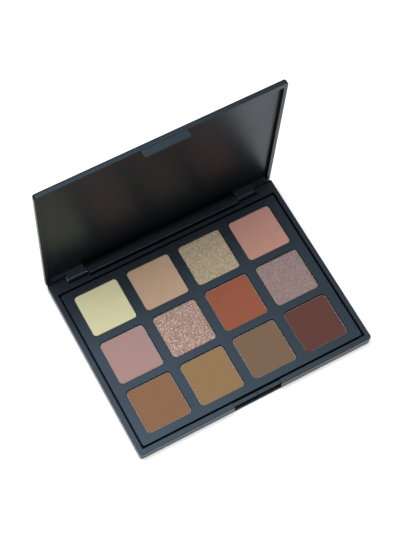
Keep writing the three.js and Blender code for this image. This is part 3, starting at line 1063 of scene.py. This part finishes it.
@dataclass
class Lid:
    """The lid with its rim, knuckles and catch tab, modelled shut."""

    hinge: Hinge
    base: BaseShell
    finish: bpy.types.Material
    closing_gap: float = 0.3 * MM
    spine_gap: float = 0.4 * MM
    plate: float = 1.3 * MM
    side_rim: float = 2.2 * MM
    front_rim: float = 3.4 * MM
    back_rim: float = 3.3 * MM
    front_radius: float = 1.6 * MM
    back_radius: float = 1.6 * MM
    top_rounding: float = 1.1 * MM
    recess_radius: float = 1.5 * MM
    back_reach: float = 1.0 * MM
    tab_half: float = 13.0 * MM
    tab_reach: float = 4.3 * MM
    tab_root: float = 1.0 * MM
    tab_thickness: float = 0.7 * MM
    tab_setback: float = 0.25 * MM
    tab_radius: float = 1.0 * MM
    edge_ease: float = 0.1 * MM

    def __post_init__(self) -> None:
        """Works out the shut lid's places."""
        base = self.base.box
        axis = self.hinge.axis_point
        plate_z = axis.z + self.base.spine_radius + self.spine_gap
        self.plate_z = plate_z
        self.box = Extent(
            Vector((base.low.x, base.low.y, base.high.z + self.closing_gap)),
            Vector((base.high.x, axis.y + self.back_reach, plate_z + self.plate)))

    def build(self) -> Piece:
        """Models the lid, opens it and dresses it."""
        lid = self._body()
        self._recess(lid)
        Workbench.combine(lid, self._tab(), Merge.ADD)
        for side in (-1, 1):
            Workbench.combine(lid, self._knuckle(side), Merge.ADD)
            Workbench.combine(lid, self._bore(side), Merge.CUT)
        Workbench.clean(lid)
        Workbench.ease(lid, self.edge_ease)
        self._open(lid)
        Workbench.smooth(lid)
        lid.data.materials.append(self.finish)
        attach(lid, "lid")
        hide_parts("lid_shell")
        return lid

    def _body(self) -> Piece:
        """Models the outer form with its soft top edge."""
        body = Workbench.slab("lid", self.box, self.front_radius, self.back_radius, 10)
        Workbench.round_edges(body, level_at(self.box.high.z), self.top_rounding, 8)
        return body

    def _recess(self, lid: Piece) -> None:
        """Sinks the plate inside the rim, and opens the back rim for the spine."""
        low, high = self.box.low, self.box.high
        back = high.y - self.back_rim
        box = Extent(
            Vector((low.x + self.side_rim, low.y + self.front_rim, low.z - OVERCUT)),
            Vector((high.x - self.side_rim, back, self.plate_z)))
        recess = Workbench.slab("recess", box, self.recess_radius,
                                self.recess_radius)
        Workbench.combine(lid, recess, Merge.CUT)
        start = self.hinge.knuckle_start
        gate = Workbench.block("gate", Extent(
            Vector((-start, back - OVERCUT, low.z - OVERCUT)),
            Vector((start, high.y + OVERCUT, self.plate_z))))
        Workbench.combine(lid, gate, Merge.CUT)

    def _tab(self) -> Piece:
        """Models the catch tab that hangs from the front rim."""
        front = self.box.low.y + self.tab_setback
        bottom = self.box.low.z - self.tab_reach
        tab = Workbench.block("tab", Extent(
            Vector((-self.tab_half, front, bottom)),
            Vector((self.tab_half, front + self.tab_thickness, self.box.low.z + self.tab_root))))
        Workbench.round_edges(
            tab, lambda ends: all(near(corner.z, bottom) for corner in ends)
            and near(ends[0].x, ends[1].x), self.tab_radius, 6)
        return tab

    def _knuckle(self, side: int) -> Piece:
        """Models one knuckle, round below and carried up to the lid's outer face.

        Args:
            side: -1 for the left one, 1 for the right one.

        Returns:
            The knuckle.
        """
        axis = self.hinge.axis_point
        radius = self.hinge.knuckle_radius
        start, stop = sorted((side * self.hinge.knuckle_start, side * self.hinge.knuckle_end))
        bottom = axis.z - radius
        knuckle = Workbench.block("knuckle", Extent(
            Vector((start, axis.y - radius, bottom)),
            Vector((stop, axis.y + radius, self.box.high.z))))
        Workbench.round_edges(
            knuckle, lambda ends: all(near(corner.z, bottom) for corner in ends)
            and near(ends[0].y, ends[1].y), radius, 12)
        Workbench.round_edges(
            knuckle, lambda ends: all(
                near(corner.z, self.box.high.z) and near(corner.y, axis.y + radius)
                for corner in ends), self.top_rounding, 8)
        return knuckle

    def _bore(self, side: int) -> Piece:
        """Models a knuckle's bore.

        Args:
            side: -1 for the left one, 1 for the right one.

        Returns:
            The bore, as a solid to cut away.
        """
        start, stop = sorted((side * (self.hinge.knuckle_start - OVERCUT),
                              side * (self.hinge.knuckle_end + OVERCUT)))
        radius = self.hinge.pin_radius + self.hinge.pin_gap
        return Workbench.bar("bore", radius, start, stop, self.hinge.axis_point)

    def _open(self, lid: Piece) -> None:
        """Turns the shut lid open about the hinge line."""
        axis = self.hinge.axis_point
        lid.location = -axis
        Workbench.settle(lid)
        lid.rotation_euler.x = -self.hinge.opening
        lid.location = axis
        Workbench.settle(lid)


# ---- pans and powders ---------------------------------------------------------------------


@dataclass
class PanSet:
    """The square tins."""

    finish: bpy.types.Material
    pan_nodes: Sequence[str]
    wall: float = 0.2 * MM
    corner_radius: float = 2.0 * MM
    foot_radius: float = 0.6 * MM

    def build(self) -> list[Piece]:
        """Models one tin, copies it to every place and dresses the tins."""
        first = Extent.of(self.pan_nodes[0])
        model = self._tin(first)
        tins = []
        for node in self.pan_nodes:
            tin = Workbench.copied(model, f"{node}_tin", Extent.of(node).centre - first.centre)
            tin.data.materials.append(self.finish)
            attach(tin, "base")
            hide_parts(node)
            tins.append(tin)
        bpy.data.objects.remove(model, do_unlink=True)
        return tins

    def _tin(self, box: Extent) -> Piece:
        """Models a drawn tin with a soft foot and an eased lip.

        Args:
            box: Its box.

        Returns:
            The tin.
        """
        tin = Workbench.slab("tin", box, self.corner_radius, self.corner_radius)
        Workbench.round_edges(tin, level_at(box.low.z), self.foot_radius, 4)
        with Workbench.picked(tin, Pick.FACE, level_at(box.high.z)):
            bpy.ops.mesh.delete(type="FACE")
        Workbench.hold(tin)
        wall = tin.modifiers.new("wall", "SOLIDIFY")
        wall.thickness = self.wall
        wall.offset = -1.0
        wall.use_even_offset = True
        bpy.ops.object.modifier_apply(modifier=wall.name)
        Workbench.ease(tin, self.wall / 4, 2)
        Workbench.smooth(tin)
        return tin


@dataclass
class PowderSet:
    """The pressed powders, one in each tin."""

    shades: Mapping[str, PressedPowder]
    corner_radius: float = 1.78 * MM
    shoulder: float = 0.5 * MM
    crown: float = 0.12 * MM

    def build(self) -> list[Piece]:
        """Models every powder and dresses it."""
        powders = []
        for node, shade in self.shades.items():
            powder = self._cake(node)
            powder.data.materials.append(shade.material())
            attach(powder, "base")
            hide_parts(node)
            powders.append(powder)
        return powders

    def _cake(self, node: str) -> Piece:
        """Models one pressed cake with a low crown.

        Args:
            node: The CAD node that it stands for.

        Returns:
            The cake.
        """
        box = Extent.of(node)
        edge = box.high.z - self.crown
        body = Extent(box.low, Vector((*box.high.xy, edge)))
        cake = Workbench.slab(f"{node}_cake", body, self.corner_radius, self.corner_radius)
        with Workbench.picked(cake, Pick.FACE, level_at(edge)):
            bpy.ops.mesh.inset(thickness=self.shoulder / 2, depth=self.crown * 0.7)
            bpy.ops.mesh.inset(thickness=self.shoulder / 2, depth=self.crown * 0.3)
        Workbench.smooth(cake)
        return cake


@dataclass
class AdhesivePads:
    """The foam tape under the pans, kept as its CAD nodes."""

    finish: bpy.types.Material
    nodes: Sequence[str]

    def build(self) -> list[Piece]:
        """Dresses the pads."""
        pads = [frame["nodes"][node] for node in self.nodes]
        for pad in pads:
            for slot in pad.material_slots:
                slot.material = self.finish
        return pads


# ---- studio -------------------------------------------------------------------------------


@dataclass(frozen=True)
class Studio:
    """Camera, floor and light."""

    camera_place: tuple[float, float, float] = (-0.16665, -0.25683, 0.71778)
    camera_turn: tuple[float, float, float] = (24.878, -1.481, -28.697)
    lens: float = 95.06
    sensor: float = 36.0
    floor_size: float = 6.0
    floor_tone: float = 0.9
    floor_glow: float = 0.3
    dome_strength: float = 0.07
    soft_light_place: tuple[float, float, float] = (-0.15, 0.1, 1.4)
    soft_light_size: float = 1.1
    soft_light_power: float = 23.6

    def build(self) -> None:
        """Sets the whole studio up."""
        self._camera()
        self._floor()
        self._dome()
        self._soft_light()
        bpy.context.scene.view_settings.view_transform = "Standard"

    def _camera(self) -> None:
        """Adds the camera."""
        data = bpy.data.cameras.new("camera")
        data.lens = self.lens
        data.sensor_width = self.sensor
        data.clip_start = 0.01
        camera = bpy.data.objects.new("camera", data)
        camera.location = self.camera_place
        camera.rotation_euler = [math.radians(turn) for turn in self.camera_turn]
        bpy.context.scene.collection.objects.link(camera)
        bpy.context.scene.camera = camera

    def _floor(self) -> None:
        """Adds the pale floor."""
        bpy.ops.object.select_all(action="DESELECT")
        bpy.ops.mesh.primitive_plane_add(size=self.floor_size, location=(0, 0, 0))
        floor = bpy.context.active_object
        floor.name = "floor"
        graph = Graph("floor")
        tone = (self.floor_tone,) * 3
        floor.data.materials.append(graph.finish({
            "Base Color": rgba(tone), "Roughness": 1.0, "Specular IOR Level": 0.0,
            "Emission Color": rgba((1.0, 1.0, 1.0)), "Emission Strength": self.floor_glow}))

    def _dome(self) -> None:
        """Sets the soft light all round."""
        world = bpy.data.worlds.new("dome")
        world.use_nodes = True
        background = world.node_tree.nodes["Background"]
        background.inputs["Color"].default_value = rgba((1.0, 1.0, 1.0))
        background.inputs["Strength"].default_value = self.dome_strength
        bpy.context.scene.world = world

    def _soft_light(self) -> None:
        """Hangs a large soft light overhead."""
        data = bpy.data.lights.new("soft_light", "AREA")
        data.shape = "SQUARE"
        data.size = self.soft_light_size
        data.energy = self.soft_light_power
        light = bpy.data.objects.new("soft_light", data)
        light.location = self.soft_light_place
        light.rotation_euler = (-Vector(light.location)).to_track_quat("-Z", "Y").to_euler()
        bpy.context.scene.collection.objects.link(light)


# ---- the palette --------------------------------------------------------------------------


ROWS = ("front", "middle", "back")
COLUMNS = (1, 2, 3, 4)

SHADES: dict[str, tuple[Colour, Surface]] = {
    "front_1": ((0.26, 0.135, 0.075), Surface.MATTE),
    "front_2": ((0.29, 0.18, 0.085), Surface.MATTE),
    "front_3": ((0.19, 0.12, 0.075), Surface.MATTE),
    "front_4": ((0.115, 0.045, 0.038), Surface.MATTE),
    "middle_1": ((0.40, 0.25, 0.235), Surface.MATTE),
    "middle_2": ((0.42, 0.28, 0.23), Surface.GLITTER),
    "middle_3": ((0.29, 0.09, 0.05), Surface.MATTE),
    "middle_4": ((0.27, 0.19, 0.18), Surface.SATIN),
    "back_1": ((0.68, 0.65, 0.40), Surface.MATTE),
    "back_2": ((0.50, 0.34, 0.23), Surface.MATTE),
    "back_3": ((0.40, 0.33, 0.22), Surface.PEBBLED),
    "back_4": ((0.48, 0.25, 0.20), Surface.MATTE),
}


def report(pieces: Union[Piece, Sequence[Piece]]) -> None:
    """Logs each piece with its triangle count."""
    for piece in pieces if isinstance(pieces, Sequence) else [pieces]:
        piece.data.calc_loop_triangles()
        LOG.info("%s: %d triangles", piece.name, len(piece.data.loop_triangles))


def main() -> None:
    """Builds the palette and its studio in order."""
    logging.basicConfig(level=logging.INFO, format="%(name)s %(message)s")
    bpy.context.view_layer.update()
    labels = [f"{row}_{column}" for row in ROWS for column in COLUMNS]
    pan_nodes = [f"pan_{label}" for label in labels]

    plastic = CasePlastic().material()
    hinge = Hinge()
    base = BaseShell(hinge, plastic)
    report(base.build())
    report(HingePins(hinge, PinSteel().material()).build())
    report(DeckInsert(plastic, pan_nodes).build())
    report(Lid(hinge, base, plastic).build())
    report(PanSet(DrawnTin().material(), pan_nodes).build())
    powders = {f"powder_{label}": PressedPowder(f"powder_{label}", *SHADES[label])
               for label in labels}
    report(PowderSet(powders).build())
    report(AdhesivePads(FoamTape().material(), [f"adhesive_{label}" for label in labels]).build())
    Studio().build()


if __name__ == "__main__":
    main()
